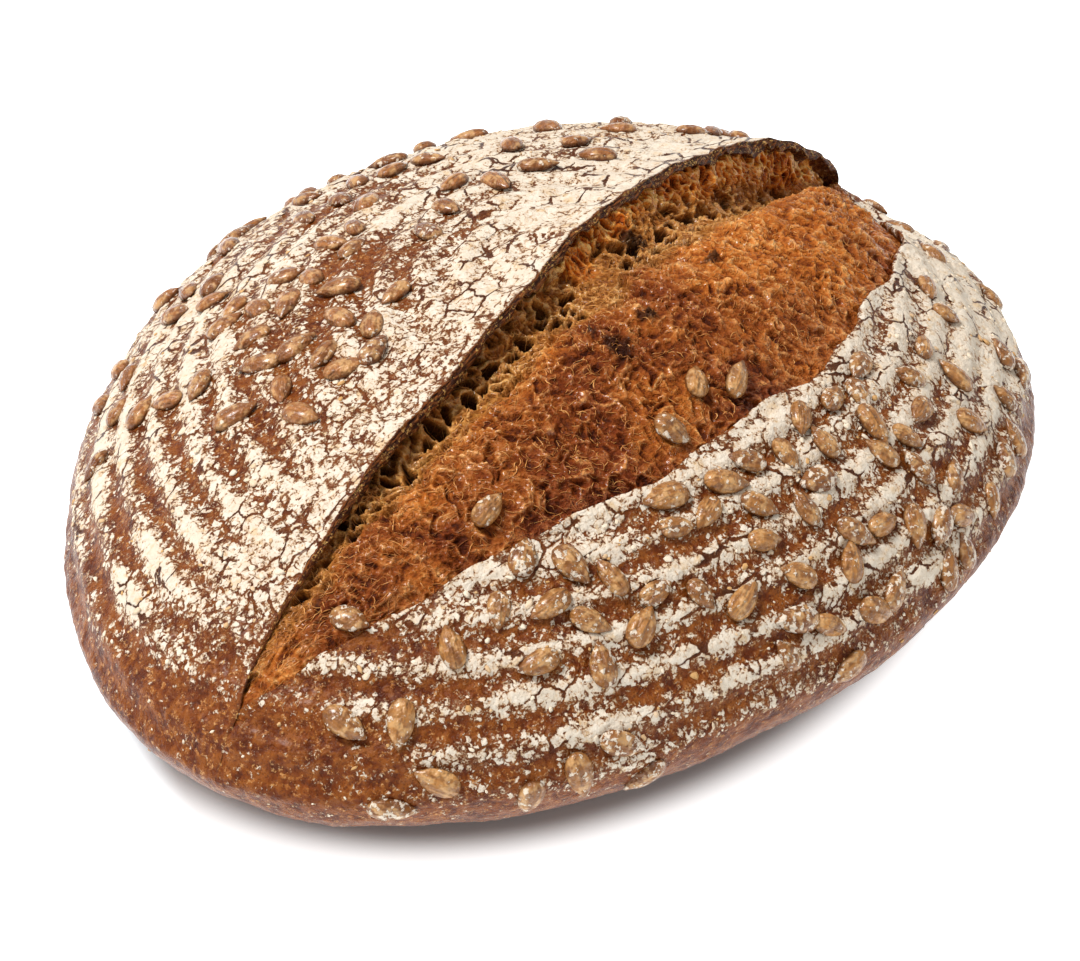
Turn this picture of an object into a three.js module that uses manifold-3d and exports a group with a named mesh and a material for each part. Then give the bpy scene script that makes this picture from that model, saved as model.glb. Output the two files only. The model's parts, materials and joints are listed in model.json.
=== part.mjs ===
// Rye bread loaf, in millimetres, +Z up. It rests on z = 0 with its length along X.
//
// An oval sourdough loaf proofed in a cane basket: a flat base, a low oval dome with the
// basket's rings in its crust, and one long slash from end to end. The crust behind the
// slash lifted into an ear, and the crumb in front of it tore open into a wide bloom.
// Hulled sunflower kernels are baked onto the crust.
import * as THREE from 'three';
import { mergeVertices } from 'three/addons/utils/BufferGeometryUtils.js';
import Module from 'manifold-3d';

// ---- driving dimensions ----

// Outline and dome
const LENGTH = 256;
const WIDTH = 200.3; // at mid length
const TAPER = 0.116; // how much wider than that the +X end is, and narrower the -X end
const PLAN_POWER = 1.9; // 2 would be an ellipse
const CROWN = 84; // height of the dome over the base
const WAIST = 31.9; // height of the widest line
const DOME_POWER = 1.6;
const SHOULDER_POWER = 1.76;
const BASE_SHARE = 0.677; // the base's size against the waist's
const TUCK_POWER = 1.6; // how the side tucks in under the waist
const SAG = { x: 124, y: -32, along: 27, across: 13, depth: 9 }; // the low shoulder past the slash

// Rings that the basket's cane pressed into the crust, by distance up the side
const RING_PITCH = 8.6;
const RING_CREST = 64; // one of the crests
const RING_RELIEF = 0.9; // crest to groove
const RINGS_FROM = 46;
const RINGS_TO = 142;

// Slash, ear and bloom
const SLASH_FROM = -121;
const SLASH_TO = 120;
const BLOOM_WIDTH = 61.5;
const EAR_LEAN = 5.5; // how far the lip reaches over the slash at mid length
const EAR_RISE = 3; // how far the lip stands off the dome at mid length
const EAR_FLARE = 3.8; // how much more it stands off near the +X end
const EAR_CURL = 9.5; // how much further it reaches over there
const EAR_ROOT = 15; // width of the lifted crust
const EAR_THICK = 2.4; // the lip's torn edge
const TROUGH = 3.5; // depth of the trough beside the ear at mid length
const TROUGH_FLARE = 5; // how much deeper it is near the +X end
const CRAG = 0.7; // roughness of the torn crumb

// Sunflower kernels
const KERNEL = { length: 8.9, width: 5, thick: 3, sunk: 0.45 };

// Where the kernels lie: angle round the loaf from +X towards +Y in degrees, distance up
// the side in mm, and how many
const KERNEL_ZONES = [
  { turn: [-158, -128], up: [42, 52], count: 6 },
  { turn: [-176, -152], up: [56, 80], count: 3 },
  { turn: [-152, -140], up: [70, 96], count: 4 },
  { turn: [-140, -125], up: [66, 90], count: 6 },
  { turn: [-124, -108], up: [68, 108], count: 9 },
  { turn: [-116, -106], up: [47, 64], count: 4 },
  { turn: [-108, -94], up: [54, 112], count: 10 },
  { turn: [-94, -72], up: [48, 106], count: 19 },
  { turn: [-72, -48], up: [52, 86], count: 8 },
  { turn: [-46, 14], up: [50, 104], count: 12 },
  { turn: [16, 60], up: [78, 136], count: 11 },
  { turn: [20, 84], up: [50, 78], count: 9 },
  { turn: [60, 100], up: [62, 140], count: 18 },
  { turn: [100, 135], up: [58, 92], count: 9 },
  { turn: [104, 136], up: [92, 138], count: 13 },
  { turn: [136, 156], up: [98, 136], count: 7 },
];

const HALF_LENGTH = LENGTH / 2;
const HALF_WIDTH = WIDTH / 2;
const CAP = CROWN - WAIST;

// ---- small helpers ----

// Park and Miller's generator, so that the same kernels are drawn every time
function drawer(seed) {
  let value = seed;
  return (low, high) => {
    value = (value * 16807) % 2147483647;
    return low + ((high - low) * value) / 2147483647;
  };
}

function smooth(from, to, x) {
  const t = Math.min(Math.max((x - from) / (to - from), 0), 1);
  return t * t * (3 - 2 * t);
}

// A closed solid from any geometry: equal points merged, empty triangles left out
const wasm = await Module();
wasm.setup();

function solid(geometry) {
  const bare = geometry.clone();
  bare.deleteAttribute('normal');
  bare.deleteAttribute('uv');
  const merged = mergeVertices(bare, 1e-4);
  const index = Array.from(merged.index.array);
  const triangles = [];
  for (let i = 0; i < index.length; i += 3) {
    const [a, b, c] = index.slice(i, i + 3);
    if (a !== b && b !== c && c !== a) {
      triangles.push(a, b, c);
    }
  }
  const vertProperties = Float32Array.from(merged.attributes.position.array);
  const triVerts = Uint32Array.from(triangles);
  return new wasm.Manifold(new wasm.Mesh({ numProp: 3, vertProperties, triVerts }));
}

// A closed skin over rows of points. Each row is a loop with the same number of points,
// and a fan to its first and last centre closes each end.
function skin(rows, first, last) {
  const around = rows[0].length;
  const positions = [...first];
  rows.forEach((row) => row.forEach((point) => positions.push(...point)));
  positions.push(...last);
  const end = rows.length * around + 1;
  const at = (row, step) => 1 + row * around + (step % around);
  const index = [];
  for (let step = 0; step < around; step += 1) {
    index.push(0, at(0, step + 1), at(0, step));
    index.push(end, at(rows.length - 1, step), at(rows.length - 1, step + 1));
    for (let row = 0; row + 1 < rows.length; row += 1) {
      index.push(at(row, step), at(row, step + 1), at(row + 1, step + 1));
      index.push(at(row, step), at(row + 1, step + 1), at(row + 1, step));
    }
  }
  const geometry = new THREE.BufferGeometry();
  geometry.setAttribute('position', new THREE.Float32BufferAttribute(positions, 3));
  geometry.setIndex(index);
  return geometry;
}

// ---- the crust's form ----

// The outline's size at a height, against the waist's
function share(z) {
  if (z < WAIST) {
    return 1 - (1 - BASE_SHARE) * (1 - z / WAIST) ** TUCK_POWER;
  }
  return (1 - ((z - WAIST) / CAP) ** DOME_POWER) ** (1 / SHOULDER_POWER);
}

// The side's profile at mid length, from the base's edge to the crown, with the distance
// up it at each step
const profile = [];
for (let step = 0; step <= 600; step += 1) {
  const z = CROWN * Math.sin((step / 600) * (Math.PI / 2));
  const reach = share(z);
  const below = profile[step - 1] ?? { z, reach, up: 0 };
  const up = below.up + Math.hypot(z - below.z, (reach - below.reach) * HALF_WIDTH);
  profile.push({ z, reach, up });
}

function sideAt(up) {
  const above = Math.max(1, profile.findIndex((entry) => entry.up >= up));
  const [a, b] = [profile[above - 1], profile[above]];
  const t = (up - a.up) / (b.up - a.up);
  return { z: a.z + t * (b.z - a.z), reach: a.reach + t * (b.reach - a.reach) };
}

function sag(x, y, z) {
  const away = ((x - SAG.x) / SAG.along) ** 2 + ((y - SAG.y) / SAG.across) ** 2;
  return SAG.depth * Math.exp(-away / 2) * smooth(WAIST, WAIST + 20, z);
}

function point(turn, reach, z) {
  const [c, s] = [Math.cos(turn), Math.sin(turn)];
  const radius = reach / (Math.abs(c) ** PLAN_POWER + Math.abs(s) ** PLAN_POWER) ** (1 / PLAN_POWER);
  const x = HALF_LENGTH * radius * c;
  const y = HALF_WIDTH * radius * s * (1 + (TAPER * x) / HALF_LENGTH);
  return new THREE.Vector3(x, y, z - sag(x, y, z));
}

// The height of the smooth dome over a place on the plan
function domeZ(x, y) {
  const across = Math.abs(y / (HALF_WIDTH * (1 + (TAPER * x) / HALF_LENGTH)));
  const sum = Math.abs(x / HALF_LENGTH) ** PLAN_POWER + across ** PLAN_POWER;
  const reach = Math.min(sum ** (1 / PLAN_POWER), 1);
  const z = WAIST + CAP * (1 - reach ** SHOULDER_POWER) ** (1 / DOME_POWER);
  return z - sag(x, y, z);
}

// Crests and grooves by turns, fading in above the bare lower side
function ringRelief(up) {
  const wave = Math.cos((2 * Math.PI * (up - RING_CREST)) / RING_PITCH);
  return (RING_RELIEF / 2) * wave * smooth(RINGS_FROM - 6, RINGS_FROM + 8, up);
}

function crust() {
  const levels = [0, 9, 18, 27, 36, 43];
  const half = RING_PITCH / 2;
  const first = RING_CREST - half * Math.floor((RING_CREST - RINGS_FROM) / half);
  for (let up = first; up < RINGS_TO; up += half) {
    levels.push(up);
  }
  const around = 48;
  const rows = levels.map((up) => {
    const { z, reach } = sideAt(up);
    const next = sideAt(up + 0.5);
    const run = new THREE.Vector2((next.reach - reach) * HALF_WIDTH, next.z - z).normalize();
    const out = ringRelief(up);
    return Array.from({ length: around }, (_, step) => {
      const place = point((2 * Math.PI * step) / around, reach, z);
      const away = new THREE.Vector2(place.x, place.y).normalize().multiplyScalar(out * run.y);
      return [place.x + away.x, place.y + away.y, Math.max(0, place.z - out * run.x)];
    });
  });
  return skin(rows, [0, 0, 0], [0, 0, CROWN]);
}

// ---- slash, bloom and ear, each worked out along X ----

function earY(x) {
  const wander = 0.7 * Math.sin(x / 16) + 0.4 * Math.sin(x / 6.3);
  const lean = EAR_LEAN * smooth(SLASH_FROM, -30, x) + EAR_CURL * smooth(70, 118, x);
  return -lean + wander * smooth(SLASH_FROM, -80, x);
}

function earRise(x) {
  const rise = EAR_RISE * smooth(SLASH_FROM, -30, x) + EAR_FLARE * smooth(64, 108, x);
  return rise * (1 - smooth(113, 119, x)) + 0.12 * Math.sin(x / 3.7);
}

// The near edge of the bloom, where the front crust starts
function bloomY(x) {
  const along = Math.min(Math.max((x - SLASH_FROM) / (SLASH_TO - SLASH_FROM), 0), 1) ** 1.2;
  const bulge = Math.max(0, Math.sin(Math.PI * along)) ** (along < 0.5 ? 0.7 : 0.45);
  const wander = 1.1 * Math.sin(x / 9) + 0.7 * Math.sin(x / 3.9);
  return Math.min(-(BLOOM_WIDTH + wander) * bulge, earY(x) - 1.4);
}

function troughDepth(x) {
  const depth = TROUGH * smooth(SLASH_FROM, -60, x) + TROUGH_FLARE * smooth(10, 80, x);
  return depth * (1 - 0.8 * smooth(84, 106, x));
}

// How far the torn crumb lies over or under the smooth dome, from 0 under the ear to 1 at
// the near edge
function bloomLift(x, across) {
  const deep = troughDepth(x);
  const bottom = 0.1 + 0.1 * smooth(-50, 60, x);
  const wall = smooth(0, bottom, across);
  const swell = smooth(bottom, bottom + 0.3, across);
  const fall = smooth(0.75, 1, across);
  return -0.3 - (deep + 0.5) * wall + (deep + 1.6) * swell - 2.1 * fall;
}

const STATIONS = 40;
const ACROSS = 8;
const stationX = (station, inset) => {
  return SLASH_FROM + inset + ((SLASH_TO - SLASH_FROM - 2 * inset) * station) / STATIONS;
};

// A closed bar over the bloom's plan, with its top or its bottom on the torn crumb
function bloomBar(margin, surface, other) {
  const rows = [];
  for (let station = 0; station <= STATIONS; station += 1) {
    const x = stationX(station, margin);
    const back = earY(x) + 2 + (margin < 1 ? 0.8 : 0);
    const front = bloomY(x) - (margin < 1 ? 0.8 : 0);
    const row = [];
    for (let step = 0; step <= ACROSS; step += 1) {
      const across = step / ACROSS;
      const y = back + (front - back) * across;
      row.push([x, y, surface(x, y, across)]);
    }
    row.push([x, front, other(x, front)]);
    row.push([x, back, other(x, back)]);
    rows.push(other(x, back) > surface(x, back, 0) ? row.reverse() : row);
  }
  const middle = (row) => {
    const centre = new THREE.Vector3();
    row.forEach((entry) => centre.add(new THREE.Vector3(...entry)));
    return centre.divideScalar(row.length).toArray();
  };
  return skin(rows, middle(rows[0]), middle(rows[rows.length - 1]));
}

const roughen = drawer(7);

function tornCrumb(x, y, across) {
  const calm = Math.min(across, 1 - across) < 0.01 ? 0.2 : 1;
  return domeZ(x, y) + bloomLift(x, across) + CRAG * calm * roughen(-1, 1);
}

// The crust that lifted off behind the slash, a blade with its root in the dome
function ear() {
  const rows = [];
  for (let station = 0; station <= STATIONS; station += 1) {
    const x = stationX(station, 0);
    const tip = earY(x);
    const rise = Math.max(earRise(x), 0.1);
    const grown = smooth(SLASH_FROM, -70, x) * (1 - 0.6 * smooth(96, SLASH_TO, x));
    const root = EAR_ROOT * (0.25 + 0.75 * grown);
    const thick = EAR_THICK * (0.35 + 0.65 * smooth(SLASH_FROM, -90, x));
    const above = (out, lift) => [x, tip + out, domeZ(x, tip + out) + lift];
    rows.push([
      above(0, rise - thick * 0.35),
      above(1.1, rise + 0.2),
      above(root * 0.4, rise * 0.5 + 0.25 * grown),
      above(root, -2.5),
      above(root * 0.8, -9),
      above(3.4, -troughDepth(x) - 5),
      above(0.8, rise - thick - 0.3),
    ].reverse());
  }
  const endOf = (x) => [x, earY(x) + 4, domeZ(x, earY(x) + 4) - 3];
  return skin(rows, endOf(SLASH_FROM - 1), endOf(SLASH_TO + 1));
}

// ---- kernels ----

// A blunt end, a full middle and a short pointed tip
function kernel() {
  const { length, width, thick } = KERNEL;
  const outline = [
    [0, -0.46],
    [0.46, -0.18],
    [0.38, 0.24],
    [0, 0.54],
  ];
  const points = outline.map(([out, along]) => new THREE.Vector2(out * width, along * length));
  const geometry = new THREE.LatheGeometry(points, 6);
  geometry.scale(1, 1, thick / width);
  return geometry;
}

function kernels() {
  const draw = drawer(41);
  const shape = solid(kernel());
  const placed = [];
  let all = null;
  KERNEL_ZONES.forEach(({ turn, up, count }) => {
    for (let tries = 0, laid = 0; laid < count && tries < 60; tries += 1) {
      const angle = (draw(...turn) * Math.PI) / 180;
      const height = draw(...up);
      const spin = draw(0, 2 * Math.PI);
      const size = draw(0.88, 1.1);
      const { z, reach } = sideAt(height);
      const place = point(angle, reach, z);
      const inSlash = place.x > SLASH_FROM && place.y < earY(place.x) + 9 && place.y > bloomY(place.x) - 3;
      const crowded = placed.some((other) => other.distanceTo(place) < KERNEL.length * 0.78);
      if (inSlash || crowded) {
        continue;
      }
      const beside = point(angle + 0.01, reach, z).sub(place);
      const next = sideAt(height + 0.5);
      const above = point(angle, next.reach, next.z).sub(place);
      const normal = new THREE.Vector3().crossVectors(beside, above).normalize();
      const along = beside.normalize().applyAxisAngle(normal, spin);
      const side = new THREE.Vector3().crossVectors(along, normal);
      const turned = new THREE.Matrix4().makeBasis(side, along, normal);
      turned.scale(new THREE.Vector3(size, size, size));
      turned.setPosition(place.clone().addScaledVector(normal, KERNEL.thick * (0.5 - KERNEL.sunk)));
      const one = shape.transform(turned.toArray());
      all = all === null ? one : all.add(one);
      placed.push(place);
      laid += 1;
    }
  });
  return all;
}

// ---- the loaf ----

const opening = bloomBar(1.2, (x, y, across) => domeZ(x, y) + bloomLift(x, across) - 3, () => 130);
const bloom = bloomBar(0, tornCrumb, (x, y) => domeZ(x, y) - 16);
const loaf = solid(crust()).subtract(solid(opening)).add(solid(bloom)).add(solid(ear())).add(kernels());

const { vertProperties, triVerts } = loaf.getMesh();
const shape = new THREE.BufferGeometry();
shape.setAttribute('position', new THREE.Float32BufferAttribute(vertProperties, 3));
shape.setIndex(Array.from(triVerts));
shape.computeVertexNormals();

const bread = new THREE.MeshStandardMaterial({ color: 0xa8713c, roughness: 0.8, metalness: 0 });
const mesh = new THREE.Mesh(shape, bread);
mesh.name = 'loaf';

const group = new THREE.Group();
group.add(mesh);

export default group;
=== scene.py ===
# %% [markdown]
# # A rye bread loaf
# This lesson dresses a plain solid loaf as a real one: a floured crust with the rings of
# its proofing basket, an ear with a charred lip, torn crumb beside it, and sunflower
# kernels. Sizes are worked out in millimetres, the unit a baker would use, and become
# metres only when they go into a mesh.

# %% Load the plain solid
import json
import math

import bpy
import numpy as np
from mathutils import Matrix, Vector

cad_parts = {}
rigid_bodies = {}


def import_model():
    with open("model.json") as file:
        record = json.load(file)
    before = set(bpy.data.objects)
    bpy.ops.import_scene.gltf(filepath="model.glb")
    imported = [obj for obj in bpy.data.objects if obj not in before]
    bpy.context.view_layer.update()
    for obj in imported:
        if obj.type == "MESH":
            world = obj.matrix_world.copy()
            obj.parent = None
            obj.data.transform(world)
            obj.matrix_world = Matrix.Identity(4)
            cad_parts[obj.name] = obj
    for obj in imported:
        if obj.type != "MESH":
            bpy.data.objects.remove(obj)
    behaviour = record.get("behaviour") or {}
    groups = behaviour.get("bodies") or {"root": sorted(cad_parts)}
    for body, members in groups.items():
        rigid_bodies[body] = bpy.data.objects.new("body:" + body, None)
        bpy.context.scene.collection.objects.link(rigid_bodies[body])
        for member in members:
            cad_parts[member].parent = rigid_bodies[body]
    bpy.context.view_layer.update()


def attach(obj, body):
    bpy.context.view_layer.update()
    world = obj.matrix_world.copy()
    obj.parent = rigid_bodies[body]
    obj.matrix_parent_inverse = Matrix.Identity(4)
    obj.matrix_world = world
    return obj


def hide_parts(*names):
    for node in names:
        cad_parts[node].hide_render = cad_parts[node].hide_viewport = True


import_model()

MM = 0.001

# %% [markdown]
# ## The loaf's form
# The loaf is an oval in plan and a low dome in section. A superellipse gives both, because
# one power squares off or sharpens the curve. The same few sizes made the solid, so each
# piece that is modelled here lies on it.

# %% Sizes of the loaf
# TAPER, a SHARE and a POWER have no unit, and all other sizes are in mm
LENGTH = 256
WIDTH = 200.3
TAPER = 0.116
PLAN_POWER = 1.9
CROWN = 84
WAIST = 31.9
DOME_POWER = 1.6
SHOULDER_POWER = 1.76
BASE_SHARE = 0.677
TUCK_POWER = 1.6
SAG = {"x": 124, "y": -32, "along": 27, "across": 13, "depth": 9}

RING_PITCH = 8.6
RING_CREST = 64
RING_RELIEF = 0.9
RINGS_FROM = 46

SLASH_FROM = -121
SLASH_TO = 120
LEAST_GAP = 1.4
BLOOM_WIDTH = 61.5
EAR_LEAN = 5.5
EAR_RISE = 3
EAR_FLARE = 3.8
EAR_CURL = 9.5
EAR_ROOT = 15
EAR_THICK = 2.4
TROUGH = 3.5
TROUGH_FLARE = 5

KERNEL = {"length": 8.9, "width": 5, "thick": 3}
KERNEL_SEED = 41

HALF_LENGTH = LENGTH / 2
HALF_WIDTH = WIDTH / 2
CAP = CROWN - WAIST


# %% Curves of the dome
def smooth(start, end, x):
    """0 at start, 1 at end, and an even swing between."""
    t = np.clip((np.asarray(x, float) - start) / (end - start), 0, 1)
    return t * t * (3 - 2 * t)


def share(z):
    """The outline's size at a height, against the waist's."""
    low = 1 - (1 - BASE_SHARE) * np.clip(1 - z / WAIST, 0, 1) ** TUCK_POWER
    rise = np.clip((z - WAIST) / CAP, 0, 1)
    return np.where(z < WAIST, low, (1 - rise**DOME_POWER) ** (1 / SHOULDER_POWER))


SIDE_Z = CROWN * np.sin(np.linspace(0, math.pi / 2, 601))
SIDE_REACH = share(SIDE_Z)
SIDE_STEPS = np.hypot(np.diff(SIDE_Z), np.diff(SIDE_REACH) * HALF_WIDTH)
SIDE_UP = np.concatenate([[0], np.cumsum(SIDE_STEPS)])


def sag(x, y, z):
    away = ((x - SAG["x"]) / SAG["along"]) ** 2 + ((y - SAG["y"]) / SAG["across"]) ** 2
    return SAG["depth"] * np.exp(-away / 2) * smooth(WAIST, WAIST + 20, z)


def plan(turn, reach):
    """x and y at a turn round the loaf and a share of the outline."""
    c, s = np.cos(turn), np.sin(turn)
    radius = reach / (np.abs(c) ** PLAN_POWER + np.abs(s) ** PLAN_POWER) ** (1 / PLAN_POWER)
    x = HALF_LENGTH * radius * c
    return x, HALF_WIDTH * radius * s * (1 + TAPER * x / HALF_LENGTH)


def point(turn, reach, z):
    x, y = plan(turn, reach)
    return np.stack(np.broadcast_arrays(x, y, z - sag(x, y, z)), -1)


def plain_dome(x, y):
    across = np.abs(y / (HALF_WIDTH * (1 + TAPER * x / HALF_LENGTH)))
    total = np.abs(x / HALF_LENGTH) ** PLAN_POWER + across**PLAN_POWER
    reach = np.minimum(total ** (1 / PLAN_POWER), 1)
    return WAIST + CAP * (1 - reach**SHOULDER_POWER) ** (1 / DOME_POWER)


def dome_z(x, y):
    z = plain_dome(x, y)
    return z - sag(x, y, z)


print("side length", round(float(SIDE_UP[-1]), 1), "mm")


# %% Curves of the slash
def ear_y(x):
    wander = 0.7 * np.sin(x / 16) + 0.4 * np.sin(x / 6.3)
    lean = EAR_LEAN * smooth(SLASH_FROM, -30, x) + EAR_CURL * smooth(70, 118, x)
    return -lean + wander * smooth(SLASH_FROM, -80, x)


def ear_rise(x):
    rise = EAR_RISE * smooth(SLASH_FROM, -30, x) + EAR_FLARE * smooth(64, 108, x)
    return np.maximum(rise * (1 - smooth(113, 119, x)) + 0.12 * np.sin(x / 3.7), 0.1)


def bloom_y(x):
    along = np.clip((x - SLASH_FROM) / (SLASH_TO - SLASH_FROM), 0, 1) ** 1.2
    bulge = np.maximum(0, np.sin(math.pi * along)) ** np.where(along < 0.5, 0.7, 0.45)
    wander = 1.1 * np.sin(x / 9) + 0.7 * np.sin(x / 3.9)
    return np.minimum(-(BLOOM_WIDTH + wander) * bulge, ear_y(x) - LEAST_GAP)


def trough_depth(x):
    depth = TROUGH * smooth(SLASH_FROM, -60, x) + TROUGH_FLARE * smooth(10, 80, x)
    return depth * (1 - 0.8 * smooth(84, 106, x))


def trough_share(x):
    """Where the trough is deepest, as a share of the bloom's width."""
    return 0.1 + 0.1 * smooth(-50, 60, x)


def bloom_lift(x, across):
    deep, bottom = trough_depth(x), trough_share(x)
    wall = smooth(0, 1, across / bottom)
    swell = smooth(0, 1, (across - bottom) / 0.3)
    lift = (deep + 1.6) * swell - (deep + 0.5) * wall - 2.1 * smooth(0.75, 1, across)
    return lift * smooth(SLASH_FROM, -92, x) - 0.3 - 0.5 * smooth(-92, SLASH_FROM, x)


# %% [markdown]
# ## Roughness from numbers
# Bread is rough at every scale. Two kinds of numbers make nearly all of it: soft noise,
# which swells and dips by chance, and cells, which say how near a point is to the border
# between two scattered centres. Cells make cracks and the webs between holes. They are
# worked out here rather than by a texture, because the mesh itself has to be rough.


# %% Noise and cells
# large primes, which stir the bits of a whole number well
STIR = np.array([374761393, 668265263, 2246822519, 3266489917], np.uint32)
# where each pattern starts, off the loaf's own axes, and how far a salt moves it
NOISE_START, NOISE_SALT = 200.37, 7.13
CELL_START, CELL_SALT = 100.5, 3.7


def chance(corner, salt):
    """An even draw from 0 to 1 for each whole-number corner, always the same one. Another
    salt gives other draws."""
    bits = corner[..., 0] * STIR[0] + corner[..., 1] * STIR[1]
    bits = bits + corner[..., 2] * STIR[2] + np.uint32(salt * 32665 + 12345)
    bits = (bits ^ (bits >> np.uint32(15))) * STIR[2]
    bits = (bits ^ (bits >> np.uint32(13))) * STIR[3]
    bits = (bits ^ (bits >> np.uint32(16))) >> np.uint32(8)
    return bits.astype(np.float32) / (2**24 - 1)


def corners(spots):
    base = np.floor(spots)
    return base.astype(np.int64).astype(np.uint32), (spots - base).astype(np.float32)


def noise(places, size, salt=0):
    """Soft noise from -1 to 1 with lumps about size mm across."""
    base, f = corners(places / size + NOISE_START + salt * NOISE_SALT)
    f = f * f * f * (f * (f * 6 - 15) + 10)
    total = 0
    for dx in (0, 1):
        for dy in (0, 1):
            for dz in (0, 1):
                weight = (f[..., 0] if dx else 1 - f[..., 0]) * (f[..., 1] if dy else 1 - f[..., 1])
                weight = weight * (f[..., 2] if dz else 1 - f[..., 2])
                total = total + weight * chance(base + np.array([dx, dy, dz], np.uint32), salt)
    return total * 2 - 1


def rough(places, size, salt=0, octaves=3):
    """Noise with finer noise on it, each half the size and half the strength."""
    layers = [noise(places, size / 2**k, salt + k) / 2**k for k in range(octaves)]
    return sum(layers) / sum(0.5**k for k in range(octaves))


def ledges(amount, steps, edge):
    """The amount in ledges, each flat and then rising over its last share, and how far
    along its own ledge each place is."""
    level = amount * steps
    step = np.floor(level)
    return (step + smooth(1 - edge, 1, level - step)) / steps, level - step


def ridged(places, size, salt=0):
    """Narrow crests: 1 on a crest, about 0 between."""
    return 1 - np.minimum(np.abs(noise(places, size, salt)) * 2.4, 1)


def cells(places, size, salt=0, flat=False):
    """Each place's distance from the border of its cell in cell sizes, and a draw from 0 to
    1 that is the cell's own. Flat cells are for places that all have one z."""
    base, f = corners(places / size + CELL_START + salt * CELL_SALT)
    near = np.full(f.shape[:-1], 9.0, np.float32)
    after = near.copy()
    own = np.zeros_like(near)
    for dx in (-1, 0, 1):
        for dy in (-1, 0, 1):
            for dz in (0,) if flat else (-1, 0, 1):
                corner = base + np.array([dx, dy, dz], np.int64).astype(np.uint32)
                away = 0
                for axis, shift in enumerate((dx, dy) if flat else (dx, dy, dz)):
                    centre = shift + 0.03 + 0.94 * chance(corner, salt + 11 * (axis + 1))
                    away = away + (centre - f[..., axis]) ** 2
                away = np.sqrt(away)
                closer = away < near
                after = np.where(closer, near, np.minimum(after, away))
                own = np.where(closer, chance(corner, salt + 77), own)
                near = np.where(closer, away, near)
    return after - near, own


print("noise at the origin", float(noise(np.zeros((1, 3)), 5)[0]))

# %% [markdown]
# ## From a grid to a piece
# Each skin of the loaf starts as a flat grid, whose vertices are then bent into place, as a
# baker shapes a sheet of dough. Its open rim is marked sharp, extruded and merged to one
# point inside the loaf, so that every piece is closed.


# %% Grid helper
def deselect():
    if bpy.context.mode != "OBJECT":
        bpy.ops.object.mode_set(mode="OBJECT")
    bpy.ops.object.select_all(action="DESELECT")


def put_values(mesh, values):
    for key, value in values.items():
        layer = mesh.attributes.new(key, "FLOAT", "POINT")
        layer.data.foreach_set("value", np.ascontiguousarray(value, np.float32).ravel())


def triangles(mesh):
    return sum(len(face.vertices) - 2 for face in mesh.polygons)


def bent_grid(name, places, values, inside):
    """A closed piece from rows and columns of places in mm. values are named numbers for
    each place, and inside is the point in mm where its back closes."""
    deselect()
    rows, columns = places.shape[:2]
    bpy.ops.mesh.primitive_grid_add(x_subdivisions=columns - 1, y_subdivisions=rows - 1, size=1)
    piece = bpy.context.object
    piece.name = piece.data.name = name
    mesh = piece.data
    mesh.vertices.foreach_set("co", (places.reshape(-1, 3) * MM).astype(np.float32).ravel())
    put_values(mesh, {key: np.broadcast_to(value, (rows, columns)) for key, value in values.items()})
    while mesh.uv_layers:
        mesh.uv_layers.remove(mesh.uv_layers[0])
    bpy.ops.object.shade_smooth()
    bpy.ops.object.mode_set(mode="EDIT")
    bpy.ops.mesh.select_mode(type="EDGE")
    bpy.ops.mesh.select_all(action="DESELECT")
    bpy.ops.mesh.select_non_manifold()
    bpy.ops.mesh.mark_sharp()
    bpy.ops.mesh.extrude_region_move()
    bpy.ops.mesh.select_mode(type="VERT")
    bpy.ops.mesh.merge(type="COLLAPSE")
    bpy.ops.object.mode_set(mode="OBJECT")
    chosen = np.zeros(len(mesh.vertices), bool)
    mesh.vertices.foreach_get("select", chosen)
    for index in np.flatnonzero(chosen):
        mesh.vertices[int(index)].co = [value * MM for value in inside]
    middle = places[rows // 2, columns // 2]
    face = min(mesh.polygons, key=lambda f: (f.center / MM - Vector(middle)).length)
    if face.normal.dot(Vector(middle - np.array(inside))) < 0:
        mesh.flip_normals()
    mesh.update()
    print(name, triangles(mesh), "triangles, merged at", len(np.flatnonzero(chosen)), "point")
    return piece


def outward(places):
    """Unit normals of rows and columns of places, pointing away from the loaf's middle."""
    n = np.cross(np.gradient(places, axis=1), np.gradient(places, axis=0))
    n = n / (np.linalg.norm(n, axis=-1, keepdims=True) + 1e-9)
    side = np.sign(((places - np.array([0, 0, 30])) * n).sum(-1, keepdims=True))
    return n * np.where(side == 0, 1, side)


# %% [markdown]
# ## Where the crust's columns run
# The crust is one sheet on the real loaf, split by the slash. It is modelled as two
# pieces: the back, whose edge lifted into the ear, and the front, whose edge is a thin
# torn lip. Each column of a piece runs from the middle of the base, up the side and over
# to the slash, so the piece ends exactly at the slash's edge.


# %% Columns from the base to the slash
# the turn round the loaf where both pieces begin, beyond the slash's +X end
TURN_TIP = math.radians(-8)


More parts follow.
